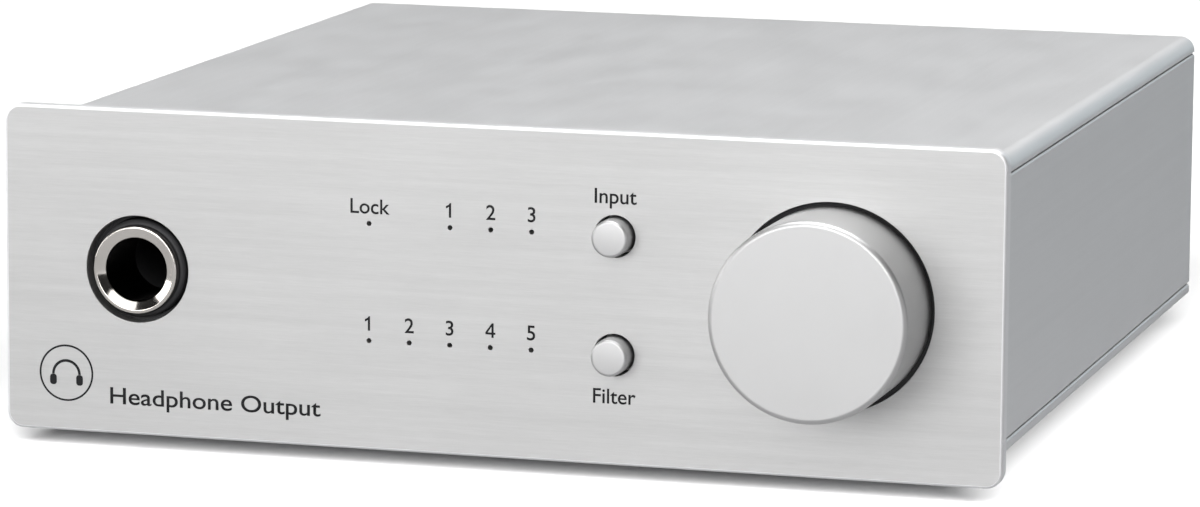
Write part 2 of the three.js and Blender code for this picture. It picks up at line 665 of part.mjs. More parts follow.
function makeDcInlet() {
  const { x, width, height, length, proud } = DC;
  const back = rearBack + proud;
  const holeFront = back - DC_HOLE.depth;
  const housing = centredBlock(x, width, [back - length, back], [seat, seat + height]);
  const hole = bar(x, DC_HOLE.z, DC_HOLE.radius, [holeFront, back + PAST]);
  const pinSpan = [holeFront - DC_HOLE.pinRoot, back - DC_HOLE.pinSetBack];
  const pin = bar(x, DC_HOLE.z, DC_HOLE.pin, pinSpan, SMALL);
  add("dc_inlet", "blackPlastic", join(cut(housing, hole), pin));
}

// ---------------------------------------------------------------- assembly

makeFascia();
makeSubframe();
makeTopCover();
makeBottomCover();
makeSidePanel("side_panel_left", -1);
makeSidePanel("side_panel_right", 1);
makeRearPanel();
makeScrews();
makeFeet();
makeKnob();
makePotentiometer();
BUTTONS.forEach(makeButton);
INDICATORS.forEach(makeIndicator);
makeJackBody();
makeFerrule();
makeBoards();
makeComponents();
makePhonoSocket("line_left", "whitePlastic", LINE_LEFT_X);
makePhonoSocket("line_right", "redPlastic", LINE_RIGHT_X);
makePhonoSocket("coax", "amberPlastic", COAX_X);
makeOpticalSocket();
makeUsbSocket();
makeDcInlet();

assembly.position.y = -(KNOB.front + phonoEnd) / 2;

export default assembly;
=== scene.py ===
"""The looks of a small desktop converter and headphone amplifier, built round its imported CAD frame.

Sizes and places here are in millimetres; meshes become metres as they are made. Places come from the CAD
nodes' boxes: +X is to the right seen from the front, +Y runs back to the sockets and +Z is up.
"""

import json
import math

import bmesh
import bpy
from mathutils import Euler, Matrix, Vector
from mathutils.geometry import tessellate_polygon


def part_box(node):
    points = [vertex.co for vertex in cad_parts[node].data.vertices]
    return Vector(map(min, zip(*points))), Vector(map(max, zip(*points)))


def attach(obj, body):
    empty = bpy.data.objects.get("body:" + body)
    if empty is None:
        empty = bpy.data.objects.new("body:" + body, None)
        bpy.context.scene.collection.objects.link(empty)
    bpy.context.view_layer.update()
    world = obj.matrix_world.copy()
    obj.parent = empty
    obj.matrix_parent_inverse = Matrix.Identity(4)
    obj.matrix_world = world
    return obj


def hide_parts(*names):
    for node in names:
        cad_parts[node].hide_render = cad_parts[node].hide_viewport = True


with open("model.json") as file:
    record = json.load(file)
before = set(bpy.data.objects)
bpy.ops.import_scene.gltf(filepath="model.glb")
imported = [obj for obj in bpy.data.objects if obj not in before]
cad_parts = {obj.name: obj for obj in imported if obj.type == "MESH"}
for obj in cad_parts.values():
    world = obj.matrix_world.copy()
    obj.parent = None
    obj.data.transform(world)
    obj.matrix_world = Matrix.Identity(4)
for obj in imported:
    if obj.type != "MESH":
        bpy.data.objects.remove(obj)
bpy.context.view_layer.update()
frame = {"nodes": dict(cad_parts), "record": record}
scene = bpy.context.scene

MM = 0.001
PAST = 1.0          # how far a cutting tool, or a hidden end, reaches past a face
CLEAR = 0.1         # the gap left between two fixed parts
ON_FACE = 0.001     # how near a plate's flat face a corner counts as lying on it
SHARP_ANGLE = 32    # degrees between two faces, above which their edge is a sharp one

# ------------------------------------------------------------------ sizes that the CAD boxes don't tell

FASCIA = {"corner": 1.7, "edge": 0.29, "hole_edge": 0.05, "led_edge": 0.03, "led_radius": 0.25, "gap": 0.15}
FASCIA_HOLES = {"knob": 10.35, "jack": 5.425, "button": 2.1}
SEAM = {"gap": 0.14, "below_top": 1.87, "above_bottom": 1.32, "chamfer": 0.15}
COVER = {"top_radius": 1.6, "bottom_radius": 0.5, "top_wall": 1.6, "bottom_wall": 1.5, "side_wall": 2.0}
RIB = {"inset": 0.3, "width": 1.2, "height": 0.95}
KNOB = {
    "round": 0.55, "back_chamfer": 0.15, "wall": 2.05, "floor": 5.4,
    "hub": 4.4, "hub_back": 7.8, "bore": 3.1, "bore_front": 2.7,
}
BUTTON = {"round": 0.32, "flange": 0.6, "stem": 1.85}
FERRULE = {
    "tube": 3.9, "bore": 3.2, "rim": 0.3, "edge": 0.12, "cone": 0.5, "shoulder": 0.9,
    "throat": 0.08, "throat_front": 0.06, "throat_back": 0.12,
}
JACK = {
    "collar": 4.95, "round": 0.45, "flange": 6.3, "end": 3.0, "seat": 0.2,
    "lip": 0.35, "lip_inside": 0.25, "lip_outside": 0.12,
}
REAR = {"corner": 1.5, "edge": 0.15, "hole_edge": 0.08, "screw_hole": 1.4, "phono": 5.3, "gap": 0.2}
PHONO = {
    "collar": 5.2, "collar_round": 0.3, "proud": 1.3, "housing": 0.9, "stem": 3.2, "stem_chamfer": 0.2,
    "pin": 1.65, "pin_depth": 3.0, "bore": 3.35, "bore_chamfer": 0.1, "radius": 4.15, "shell_round": 0.35,
}
MOUTH = {
    "size": 6.6, "bottom": 14.6, "corner": 0.6, "lip": 0.8, "depth": 8.2,
    "side": 0.2, "below": 0.4, "above": 1.0, "edge": 0.07,
}
SHUTTER_TIP = {"height": 0.1, "outer": 0.05, "inner": 0.15}
USB_MOUTH = {"width": 8.5, "height": 7.8, "slope": 1.6, "depth": 9.5}
DC_HOLE = {
    "z": 19.0, "radius": 3.0, "depth": 9.0, "pin": 1.0, "pin_round": 0.4, "root": 1.0, "set_back": 0.8,
}
SCREW = {"shank": 1.2, "head": 2.3, "crown": 1.3, "drive": 2.6, "width": 0.7, "depth": 1.1, "rim": 0.35}
FOOT = {
    "taper": 0.5, "round": 0.5, "top_chamfer": 0.2, "bore": 1.3,
    "recess": 2.6, "recess_top": 1.5, "recess_chamfer": 0.25,
}
FOOT_SCREW = {"head": 2.2, "height": 1.1, "slot": 0.6, "round": 0.35}
EDGE = {"cover": 0.07, "side": 0.06, "cross": 0.05, "usb_shell": 0.18, "usb_tongue": 0.2, "dc": 0.15}
PRINT = {"cap": 1.46, "rise": 1.0, "above": 3.25, "below": 4.85, "depth": 0.012, "bolder": 0.009}
SOCKET_LABEL = {"right": 8.1, "below": 13.85, "cap": 1.66, "width": 22.4}
PICTOGRAM = {
    "left": 7.7, "below": 11.0, "ring": (2.9, 2.7), "band": (1.55, 1.27), "band_z": -0.15,
    "cup_x": 1.41, "cup_half": 0.36, "cup_bottom": -1.25, "cup_top": -0.16, "cup_corner": 0.3,
}


# ------------------------------------------------------------------ mesh building

def add_object(name, data):
    obj = bpy.data.objects.new(name, data)
    scene.collection.objects.link(obj)
    return obj


def add_mesh(name, points, faces):
    mesh = bpy.data.meshes.new(name)
    mesh.from_pydata([[c * MM for c in point] for point in points], [], faces)
    work = bmesh.new()
    work.from_mesh(mesh)
    bmesh.ops.recalc_face_normals(work, faces=work.faces)
    work.to_mesh(mesh)
    work.free()
    return add_object(name, mesh)


def arc(centre, radius, start, end, steps):
    """Points on an arc between two angles in degrees."""
    angles = [math.radians(start + (end - start) * i / steps) for i in range(steps + 1)]
    return [(centre[0] + radius * math.cos(a), centre[1] + radius * math.sin(a)) for a in angles]


def rounded_outline(low, high, radius, steps=12):
    """A rectangle with round corners from its low (x, z) corner to its high one."""
    (x0, z0), (x1, z1) = low, high
    return (
        arc((x1 - radius, z0 + radius), radius, -90, 0, steps)
        + arc((x1 - radius, z1 - radius), radius, 0, 90, steps)
        + arc((x0 + radius, z1 - radius), radius, 90, 180, steps)
        + arc((x0 + radius, z0 + radius), radius, 180, 270, steps)
    )


def outer_rim(low, high, corner):
    """A plate's outside, as a function of how far it is moved into the material."""
    return lambda inset: rounded_outline(
        (low[0] + inset, low[1] + inset), (high[0] - inset, high[1] - inset), corner - inset
    )


def window_rim(low, high, corner):
    """A rectangular cut-out's rim, likewise."""
    return lambda inset: rounded_outline(
        (low[0] - inset, low[1] - inset), (high[0] + inset, high[1] + inset), corner + inset, 4
    )


def hole_rim(x, z, radius, count):
    """A round hole's rim, likewise."""
    return lambda inset: arc((x, z), radius + inset, 0, 360, count)[:-1]


def plate(name, rims, y0, y1, steps=4):
    """A flat plate with rounded rims, from y0 in front to y1 behind.

    Each rim is (outline by inset, rounding), and the first is the outside. The "edge" attribute is 1 on the
    outside's faces and 0 elsewhere; the fascia's material paints a highlight where it is 1.
    """
    points, faces, front, back = [], [], [], []
    turns = [math.radians(90 * i / steps) for i in range(steps + 1)]
    for outline, edge in rims:
        levels = [(edge * (1 - math.sin(t)), edge * (1 - math.cos(t))) for t in turns]
        rings = [(inset, y0 + depth) for inset, depth in levels]
        rings += [(inset, y1 - depth) for inset, depth in reversed(levels)]
        starts = []
        for inset, y in rings:
            starts.append(len(points))
            points += [(x, y, z) for x, z in outline(inset)]
        count = len(points) - starts[-1]
        for low, high in zip(starts, starts[1:]):
            for i in range(count):
                j = (i + 1) % count
                faces.append((low + i, low + j, high + j, high + i))
        front.append(range(starts[0], starts[0] + count))
        back.append(range(starts[-1], starts[-1] + count))
    for loops in (front, back):
        flat = [[Vector((points[i][0], points[i][2], 0)) for i in loop] for loop in loops]
        order = [i for loop in loops for i in loop]
        faces += [tuple(order[i] for i in triangle) for triangle in tessellate_polygon(flat)]
    piece = flatten_caps(smooth(add_mesh(name, points, faces)), y0, y1)
    outside = len(rims[0][0](0)) * (2 * steps + 1)
    # Mask for a painted highlight: 1 on the outside's rounded faces, 0 elsewhere.
    painted_highlight_mask = piece.data.attributes.new("edge", "FLOAT", "FACE")
    painted_highlight_mask.data.foreach_set("value", [float(i < outside) for i in range(len(faces))])
    return piece


def flatten_caps(obj, y0, y1):
    """Turns the normals on a plate's two flat faces exactly outwards, so that long triangles don't show."""
    mesh = obj.data
    normals = [corner.vector.copy() for corner in mesh.corner_normals]
    for loop in mesh.loops:
        y = mesh.vertices[loop.vertex_index].co.y / MM
        for level, way in ((y0, -1), (y1, 1)):
            if abs(y - level) < ON_FACE:
                normals[loop.index] = Vector((0, way, 0))
    mesh.normals_split_custom_set(normals)
    return obj


def prism(name, outline, span, axis="Y"):
    """A closed outline extruded over a span: (x, z) points along Y, or (y, z) points along X."""
    count = len(outline)
    if axis == "Y":
        points = [(u, level, v) for level in span for u, v in outline]
    else:
        points = [(level, u, v) for level in span for u, v in outline]
    faces = [(i, (i + 1) % count, count + (i + 1) % count, count + i) for i in range(count)]
    faces += [tuple(range(count)), tuple(range(2 * count - 1, count - 1, -1))]
    return add_mesh(name, points, faces)


def block(name, low, high):
    (x0, y0, z0), (x1, y1, z1) = low, high
    return prism(name, [(x0, z0), (x1, z0), (x1, z1), (x0, z1)], (y0, y1))


def lathe(name, profile, centre, axis="Y", segments=96):
    """A profile of (radius, height) points turned about an axis along Y or Z through centre.

    A profile that starts and ends on the axis makes a full solid; any other closes on itself.
    """
    turns = [2 * math.pi * i / segments for i in range(segments)]
    points, rings, faces = [], [], []
    for radius, height in profile:
        ring = [(radius * math.cos(a), radius * math.sin(a)) for a in (turns if radius else [0])]
        rings.append([len(points) + i % len(ring) for i in range(segments)])
        for u, v in ring:
            across, along = centre[0] + u, centre[1] + v
            points.append((across, height, along) if axis == "Y" else (across, along, height))
    pairs = list(zip(rings, rings[1:]))
    if profile[0][0] or profile[-1][0]:
        pairs.append((rings[-1], rings[0]))
    for low, high in pairs:
        for i in range(segments):
            j = (i + 1) % segments
            corners = list(dict.fromkeys([low[i], low[j], high[j], high[i]]))
            if len(corners) > 2:
                faces.append(tuple(corners))
    return add_mesh(name, points, faces)


def apply_modifiers(obj):
    bpy.context.view_layer.update()
    evaluated = obj.evaluated_get(bpy.context.evaluated_depsgraph_get())
    mesh = bpy.data.meshes.new_from_object(evaluated)
    obj.modifiers.clear()
    obj.data = mesh


def boolean(obj, tools, operation="DIFFERENCE"):
    """Cuts the tools from obj, or joins them to it, and removes them."""
    for tool in tools:
        modifier = obj.modifiers.new("boolean", "BOOLEAN")
        modifier.operation = operation
        modifier.solver = "EXACT"
        modifier.object = tool
    apply_modifiers(obj)
    for tool in tools:
        bpy.data.objects.remove(tool)
    return obj


def soften(obj, width, segments=3):
    """Rounds every sharp edge."""
    bevel = obj.modifiers.new("edges", "BEVEL")
    bevel.limit_method = "ANGLE"
    bevel.angle_limit = math.radians(SHARP_ANGLE)
    bevel.width = width * MM
    bevel.segments = segments
    bevel.use_clamp_overlap = False
    apply_modifiers(obj)
    return smooth(obj)


def smooth(obj):
    """Smooth shading that leaves flat faces flat."""
    obj.data.shade_smooth()
    obj.data.set_sharp_from_angle(angle=math.radians(SHARP_ANGLE))
    weighted = obj.modifiers.new("normals", "WEIGHTED_NORMAL")
    weighted.keep_sharp = True
    weighted.weight = 100
    apply_modifiers(obj)
    return obj


def node_box(node):
    """The lowest corner, highest corner and middle of a CAD node, in millimetres."""
    low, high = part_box(node)
    return low / MM, high / MM, (low + high) / (2 * MM)


def finish_piece(obj, slot, node=None, body="chassis", material=None):
    """Gives a piece the material of its slot, or the one named, and its body, and lets it stand for a CAD
    node.
    """
    obj.data.materials.clear()
    obj.data.materials.append(MATERIALS[material or slot])
    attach(obj, body)
    if node:
        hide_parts(node)
    return obj


# ------------------------------------------------------------------ materials

NOISE_LOW, NOISE_HIGH = 0.3, 0.7    # the span that a noise texture mostly stays in


class Shader:
    """One node material on a Principled BSDF. Texture scales are in features per millimetre."""

    def __init__(self, name, metallic=0.0, roughness=0.5):
        self.material = bpy.data.materials.new(name)
        self.material.use_nodes = True
        self.nodes = self.material.node_tree.nodes
        self.links = self.material.node_tree.links
        self.bsdf = self.nodes["Principled BSDF"]
        self.bsdf.inputs["Metallic"].default_value = metallic
        self.bsdf.inputs["Roughness"].default_value = roughness
        self.coords = self.nodes.new("ShaderNodeTexCoord")

    def noise(self, scale, detail=4.0, roughness=0.55):
        mapping = self.nodes.new("ShaderNodeMapping")
        mapping.inputs["Scale"].default_value = [s / MM for s in scale]
        self.links.new(self.coords.outputs["Object"], mapping.inputs["Vector"])
        node = self.nodes.new("ShaderNodeTexNoise")
        node.inputs["Scale"].default_value = 1.0
        node.inputs["Detail"].default_value = detail
        node.inputs["Roughness"].default_value = roughness
        self.links.new(mapping.outputs["Vector"], node.inputs["Vector"])
        return node.outputs["Fac"]

    def mix(self, first, second, share):
        """Two noises mixed, the second with this share."""
        node = self.nodes.new("ShaderNodeMix")
        node.inputs["Factor"].default_value = share
        self.links.new(first, node.inputs["A"])
        self.links.new(second, node.inputs["B"])
        return node.outputs["Result"]

    def remap(self, value, low, high):
        node = self.nodes.new("ShaderNodeMapRange")
        node.inputs["From Min"].default_value = NOISE_LOW
        node.inputs["From Max"].default_value = NOISE_HIGH
        node.inputs["To Min"].default_value = low
        node.inputs["To Max"].default_value = high
        self.links.new(value, node.inputs["Value"])
        return node.outputs["Result"]

    def color_mix(self):
        """A colour mix node, with its two colour inputs and its result."""
        node = self.nodes.new("ShaderNodeMix")
        node.data_type = "RGBA"
        first, second = [socket for socket in node.inputs if socket.type == "RGBA"]
        result = next(socket for socket in node.outputs if socket.type == "RGBA")
        return node, first, second, result

    def color(self, value, base, low, high):
        """The base colour, shaded between two strengths by the noise."""
        node, dark, light, result = self.color_mix()
        dark.default_value = [c * low for c in base] + [1]
        light.default_value = [c * high for c in base] + [1]
        self.links.new(self.remap(value, 0, 1), node.inputs["Factor"])
        self.links.new(result, self.bsdf.inputs["Base Color"])

    def paint_edge_highlight(self, base):
        """A painted highlight: a lighter base colour where the mesh's "edge" attribute is 1, standing in
        for the bright line that light draws along a rounded edge.
        """
        edge = self.nodes.new("ShaderNodeAttribute")
        edge.attribute_name = "edge"
        node, plain, bright, result = self.color_mix()
        bright.default_value = [*base, 1]
        self.links.new(edge.outputs["Fac"], node.inputs["Factor"])
        self.links.new(self.bsdf.inputs["Base Color"].links[0].from_socket, plain)
        self.links.new(result, self.bsdf.inputs["Base Color"])

    def rough(self, value, low, high):
        self.links.new(self.remap(value, low, high), self.bsdf.inputs["Roughness"])

    def bump(self, height, distance):
        """A bump of this height in millimetres, on top of those before it."""
        node = self.nodes.new("ShaderNodeBump")
        node.inputs["Distance"].default_value = distance * MM
        self.links.new(height, node.inputs["Height"])
        earlier = self.bsdf.inputs["Normal"].links
        if earlier:
            self.links.new(earlier[0].from_socket, node.inputs["Normal"])
        self.links.new(node.outputs["Normal"], self.bsdf.inputs["Normal"])


def brushed_fascia():
    """Aluminium brushed along its length, then clear anodised, with a painted highlight on its outer
    rounded edge.
    """
    shader = Shader("brushed_fascia", metallic=1.0)
    grain = shader.noise((0.32, 0.4, 6.4), detail=6, roughness=0.72)
    streaks = shader.noise((0.03, 0.3, 1.5), detail=3)
    mottle = shader.noise((0.06, 0.06, 0.09), detail=2)
    shader.color(shader.mix(grain, streaks, 0.4), (0.57, 0.57, 0.568), 0.91, 1.07)
    # Painted highlight: a lighter base colour on the outer rounded edge, for the bright line that light
    # draws there.
    shader.paint_edge_highlight((0.83, 0.83, 0.84))
    shader.rough(shader.mix(grain, mottle, 0.5), 0.50, 0.58)
    shader.bump(grain, 0.004)
    shader.bump(streaks, 0.0015)
    return shader.material


def satin_case():
    """Extruded aluminium, finely blasted and anodised, with a trace of the extrusion's direction."""
    shader = Shader("satin_case", metallic=1.0)
    blast = shader.noise((9, 9, 9), detail=2)
    die_lines = shader.noise((1.6, 0.014, 1.6), detail=3)
    mottle = shader.noise((0.25, 0.1, 0.25), detail=4)
    shader.color(shader.mix(die_lines, mottle, 0.5), (0.75, 0.755, 0.763), 0.98, 1.02)
    shader.rough(mottle, 0.50, 0.53)
    shader.bump(blast, 0.0015)
    shader.bump(die_lines, 0.0008)
    return shader.material


def turned_satin(name):
    """Turned aluminium, blasted to an even satin."""
    shader = Shader(name, metallic=1.0)
    blast = shader.noise((8, 8, 8), detail=2)
    mottle = shader.noise((0.15, 0.15, 0.15), detail=3)
    shader.color(mottle, (0.565, 0.565, 0.565), 0.985, 1.015)
    shader.rough(mottle, 0.43, 0.48)
    shader.bump(blast, 0.0012)
    return shader.material


def plated(name, base, low, high, scratch):
    """Bright plated metal with faint handling scratches."""
    shader = Shader(name, metallic=1.0)
    scratches = shader.noise((0.7, 5.2, 0.9), detail=5, roughness=0.7)
    mottle = shader.noise((0.42, 0.42, 0.42), detail=3)
    shader.color(mottle, base, 0.95, 1.04)
    shader.rough(mottle, low, high)
    shader.bump(scratches, scratch)
    return shader.material


def matt(name, base, rough, texture, grain=3.2, contrast=0.12, gloss=0.5):
    """Moulded plastic, rubber, ink or paint: an even colour with a fine texture."""
    shader = Shader(name)
    pores = shader.noise((grain, grain, grain), detail=3)
    mottle = shader.noise((0.26, 0.26, 0.26), detail=3)
    shader.color(mottle, base, 1 - contrast, 1 + contrast)
    shader.rough(mottle, *rough)
    shader.bsdf.inputs["Specular IOR Level"].default_value = gloss
    shader.bump(pores, texture)
    return shader.material


def clear_lens():
    shader = Shader("clear_lens")
    ripple = shader.noise((0.9, 0.9, 0.9), detail=2)
    shader.color(ripple, (0.75, 0.79, 0.8), 0.95, 1.05)
    shader.rough(ripple, 0.08, 0.16)
    shader.bsdf.inputs["Transmission Weight"].default_value = 0.6
    shader.bump(ripple, 0.004)
    return shader.material


def circuit_board():
    """Green solder mask over tracks that run mostly to the back."""
    shader = Shader("circuit_board")
    weave = shader.noise((1.5, 1.5, 1.5), detail=2)
    tracks = shader.noise((0.42, 0.06, 0.42), detail=1)
    shader.color(tracks, (0.014, 0.12, 0.045), 0.65, 1.3)
    shader.rough(weave, 0.28, 0.42)
    shader.bump(weave, 0.006)
    return shader.material


MATERIALS = {
    "fascia": brushed_fascia(),
    "case": satin_case(),
    "knob": turned_satin("knob_satin"),
    "buttons": turned_satin("button_satin"),
    "nickel": plated("bright_nickel", (0.80, 0.765, 0.72), 0.08, 0.16, 0.001),
    "steel": plated("zinc_steel", (0.55, 0.555, 0.56), 0.24, 0.38, 0.003),
    "black_steel": matt("powder_coat", (0.014, 0.014, 0.015), (0.5, 0.66), 0.02, grain=1.9, contrast=0.25),
    "black_plastic": matt("black_plastic", (0.02, 0.02, 0.021), (0.32, 0.46), 0.005),
    "jack_plastic": matt("jack_plastic", (0.009, 0.009, 0.0095), (0.36, 0.5), 0.005, gloss=0.22),
    "shutter_plastic": matt("shutter_plastic", (0.09, 0.09, 0.093), (0.3, 0.42), 0.003),
    "white_plastic": matt("white_plastic", (0.78, 0.77, 0.73), (0.25, 0.38), 0.003, contrast=0.04),
    "red_plastic": matt("red_plastic", (0.42, 0.012, 0.014), (0.25, 0.38), 0.003),
    "amber_plastic": matt("amber_plastic", (0.62, 0.20, 0.02), (0.25, 0.38), 0.003),
    "lens": clear_lens(),
    "board": circuit_board(),
    "rubber": matt("foot_rubber", (0.02, 0.02, 0.0198), (0.72, 0.9), 0.02, grain=2.6, contrast=0.4),
    "ink": matt(
        "printing_ink", (0.006, 0.006, 0.0065), (0.62, 0.8), 0.002, grain=2.4, contrast=0.3, gloss=0.12
    ),
}


def dress_cad_nodes():
    """Every CAD node that stays gets the material of its slot."""
    for row in frame["record"]["subparts"]:
        mesh = frame["nodes"][row["node"]].data
        mesh.materials.clear()
        mesh.materials.append(MATERIALS[row["material_slot"]])


# ------------------------------------------------------------------ fascia

def indicator_places():
    return {name: node_box(name)[2] for name in sorted(frame["nodes"]) if name.startswith("led_")}


def build_fascia():
    low, high, _ = node_box("front_panel")
    back = node_box("top_cover")[0].y - FASCIA["gap"]
    holes = {
        "volume_knob": "knob", "jack_ferrule": "jack", "button_input": "button", "button_filter": "button",
    }
    rims = [(outer_rim((low.x, low.z), (high.x, high.z), FASCIA["corner"]), FASCIA["edge"])]
    for node, kind in holes.items():
        middle = node_box(node)[2]
        rims.append((hole_rim(middle.x, middle.z, FASCIA_HOLES[kind], 128), FASCIA["hole_edge"]))
    for place in indicator_places().values():
        rims.append((hole_rim(place.x, place.z, FASCIA["led_radius"], 24), FASCIA["led_edge"]))
    finish_piece(plate("fascia_plate", rims, low.y, back), "fascia", "front_panel")


# ------------------------------------------------------------------ case

def cover_outline(half, outer, inner, seam, radius, side):
    """A cover's profile: plate, rounded long edges, lips at the seams and locating ribs.

    The side is 1 for the cover above and -1 for the one below.
    """
    lip = seam + side * SEAM["gap"] / 2
    side_inner = half - COVER["side_wall"]
    rib_outer = side_inner - RIB["inset"]
    rib_inner = rib_outer - RIB["width"]
    rib_end = inner - side * RIB["height"]
    right = arc((half - radius, outer - side * radius), radius, side * 90, 0, 16)
    right += [(half, lip + side * SEAM["chamfer"]), (half - SEAM["chamfer"], lip)]
    right += [(side_inner, lip), (side_inner, inner), (rib_outer, inner)]
    right += [(rib_outer, rib_end), (rib_inner, rib_end), (rib_inner, inner)]
    return right + [(-x, z) for x, z in reversed(right)]


def build_covers():
    low, high, _ = node_box("top_cover")
    seam = high.z - SEAM["below_top"]
    inner = high.z - COVER["top_wall"]
    outline = cover_outline(high.x, high.z, inner, seam, COVER["top_radius"], 1)
    cover = soften(prism("cover_top", outline, (low.y, high.y)), EDGE["cover"], 2)
    finish_piece(cover, "case", "top_cover")

    low, high, _ = node_box("bottom_cover")
    seam = low.z + SEAM["above_bottom"]
    inner = low.z + COVER["bottom_wall"]
    outline = cover_outline(high.x, low.z, inner, seam, COVER["bottom_radius"], -1)
    tray = soften(prism("cover_bottom", outline, (low.y, high.y)), EDGE["cover"], 2)
    finish_piece(tray, "case", "bottom_cover")


def build_side(node, side):
    """A side panel: side is 1 on the right and -1 on the left."""
    low, high, _ = node_box(node)
    outer = high.x if side > 0 else -low.x
    chamfer = SEAM["chamfer"]
    inner = outer - COVER["side_wall"]
    right = [(inner, low.z), (outer - chamfer, low.z), (outer, low.z + chamfer)]
    right += [(outer, high.z - chamfer), (outer - chamfer, high.z), (inner, high.z)]
    wall = prism(node + "_wall", [(side * x, z) for x, z in right], (low.y, high.y))
    finish_piece(soften(wall, EDGE["side"], 2), "case", node)


def build_rear_panel():
    low, high, _ = node_box("rear_panel")
    rims = [(outer_rim((low.x, low.z), (high.x, high.z), REAR["corner"]), REAR["edge"])]
    for node in ("line_left_shell", "line_right_shell", "coax_shell"):
        middle = node_box(node)[2]
        rims.append((hole_rim(middle.x, middle.z, REAR["phono"], 96), REAR["hole_edge"]))
    for node in ("optical_socket", "usb_socket", "dc_inlet"):
        part_low, part_high, _ = node_box(node)
        gap = REAR["gap"]
        corners = (part_low.x - gap, part_low.z - gap), (part_high.x + gap, part_high.z + gap)
        rims.append((window_rim(*corners, gap), REAR["hole_edge"]))
    for number in range(1, 5):
        middle = node_box(f"rear_screw_{number}")[2]
        rims.append((hole_rim(middle.x, middle.z, REAR["screw_hole"], 32), REAR["hole_edge"]))
    finish_piece(plate("rear_plate", rims, low.y, high.y), "case", "rear_panel")


# ------------------------------------------------------------------ controls on the front

def rounded_front(radius, front, rounding):
    """The profile of a turned cap from its side round to its face."""
    return arc((radius - rounding, front + rounding), rounding, 0, -90, 8)


def build_knob():
    low, high, middle = node_box("volume_knob")
    front, back = low.y, high.y
    radius = high.x - middle.x
    inside = radius - KNOB["wall"]
    profile = [(0, front + KNOB["bore_front"]), (KNOB["bore"], front + KNOB["bore_front"])]
    profile += [(KNOB["bore"], front + KNOB["hub_back"]), (KNOB["hub"], front + KNOB["hub_back"])]
    profile += [(KNOB["hub"], front + KNOB["floor"]), (inside, front + KNOB["floor"]), (inside, back)]
    profile += [(radius - KNOB["back_chamfer"], back), (radius, back - KNOB["back_chamfer"])]
    profile += rounded_front(radius, front, KNOB["round"]) + [(0, front)]
    knob = smooth(lathe("knob_volume", profile, (middle.x, middle.z), segments=192))
    finish_piece(knob, "knob", "volume_knob", body="volume")


def build_button(node, body):
    low, high, middle = node_box(node)
    flange = high.x - middle.x
    flange_front = high.y - BUTTON["flange"]
    profile = [(0, high.y), (flange, high.y), (flange, flange_front), (BUTTON["stem"], flange_front)]
    profile += rounded_front(BUTTON["stem"], low.y, BUTTON["round"]) + [(0, low.y)]
    cap = smooth(lathe(node.replace("button_", "cap_"), profile, (middle.x, middle.z)))
    finish_piece(cap, "buttons", node, body=body)


def build_jack():
    low, high, middle = node_box("jack_ferrule")
    centre = (middle.x, middle.z)
    radius = high.x - middle.x
    bore, tube, edge = FERRULE["bore"], FERRULE["tube"], FERRULE["edge"]
    shoulder = low.y + FERRULE["shoulder"]
    rim = radius - FERRULE["rim"]
    cone_end = low.y + FERRULE["cone"]
    profile = [(bore, high.y), (tube, high.y), (tube, shoulder), (radius, shoulder)]
    profile += arc((radius - edge, low.y + edge), edge, 0, -90, 5)
    profile += arc((rim, low.y + edge), edge, -90, -135, 3)
    profile.append((bore + FERRULE["throat"], cone_end - FERRULE["throat_front"]))
    profile.append((bore, cone_end + FERRULE["throat_back"]))
    ring = smooth(lathe("jack_ring", profile, centre, segments=160))
    finish_piece(ring, "nickel", "jack_ferrule")

    body_low, body_high, _ = node_box("jack_body")
    front, back = body_low.y, body_high.y
    flange_front = node_box("front_subframe")[1].y + CLEAR
    well, seat = tube + CLEAR, high.y + JACK["seat"]
    collar, flange, end = JACK["collar"], JACK["flange"], back - JACK["end"]
    profile = [(0, end), (bore + CLEAR, end), (bore + CLEAR, seat), (well, seat)]
    profile += [(well, front + JACK["lip_inside"]), (well + JACK["lip"], front + JACK["lip_outside"])]
    profile += arc((collar - JACK["round"], front + JACK["round"]), JACK["round"], -90, 0, 6)
    profile += [(collar, flange_front), (flange, flange_front), (flange, back), (0, back)]
    housing = smooth(lathe("jack_housing", profile, centre, segments=128))
    finish_piece(housing, "black_plastic", "jack_body", material="jack_plastic")


# ------------------------------------------------------------------ screws and feet

def cut_cross(screw, low, high, middle, across):
    """Cuts a cross recess from low to high along the screw's axis.

    The two slots run along the axes named in across.
    """
    tools = []
    for long_way in across:
        reach = Vector([SCREW["width"] / 2] * 3)
        reach["xyz".index(long_way)] = SCREW["drive"] / 2
        corner_low, corner_high = middle - reach, middle + reach
        axis = next(i for i, letter in enumerate("xyz") if letter not in across)
        corner_low[axis], corner_high[axis] = low, high
        tools.append(block("tool", corner_low, corner_high))
    return soften(boolean(screw, tools), EDGE["cross"], 2)


def build_rear_screw(number):
    node = f"rear_screw_{number}"
    low, high, middle = node_box(node)
    under = node_box("rear_panel")[1].y + CLEAR
    head, crown, rim = SCREW["head"], SCREW["crown"], SCREW["rim"]
    rise = high.y - under - rim
    turns = [math.radians(90 * i / 8) for i in range(9)]
    profile = [(0, high.y)]
    profile += [(crown + (head - crown) * math.sin(t), under + rim + rise * math.cos(t)) for t in turns]
    profile += [(head, under), (SCREW["shank"], under), (SCREW["shank"], low.y), (0, low.y)]
    screw = lathe(f"screw_rear_{number}", profile, (middle.x, middle.z), segments=48)
    cut_cross(screw, high.y - SCREW["depth"], high.y + PAST, middle, "xz")
    finish_piece(screw, "steel", node)


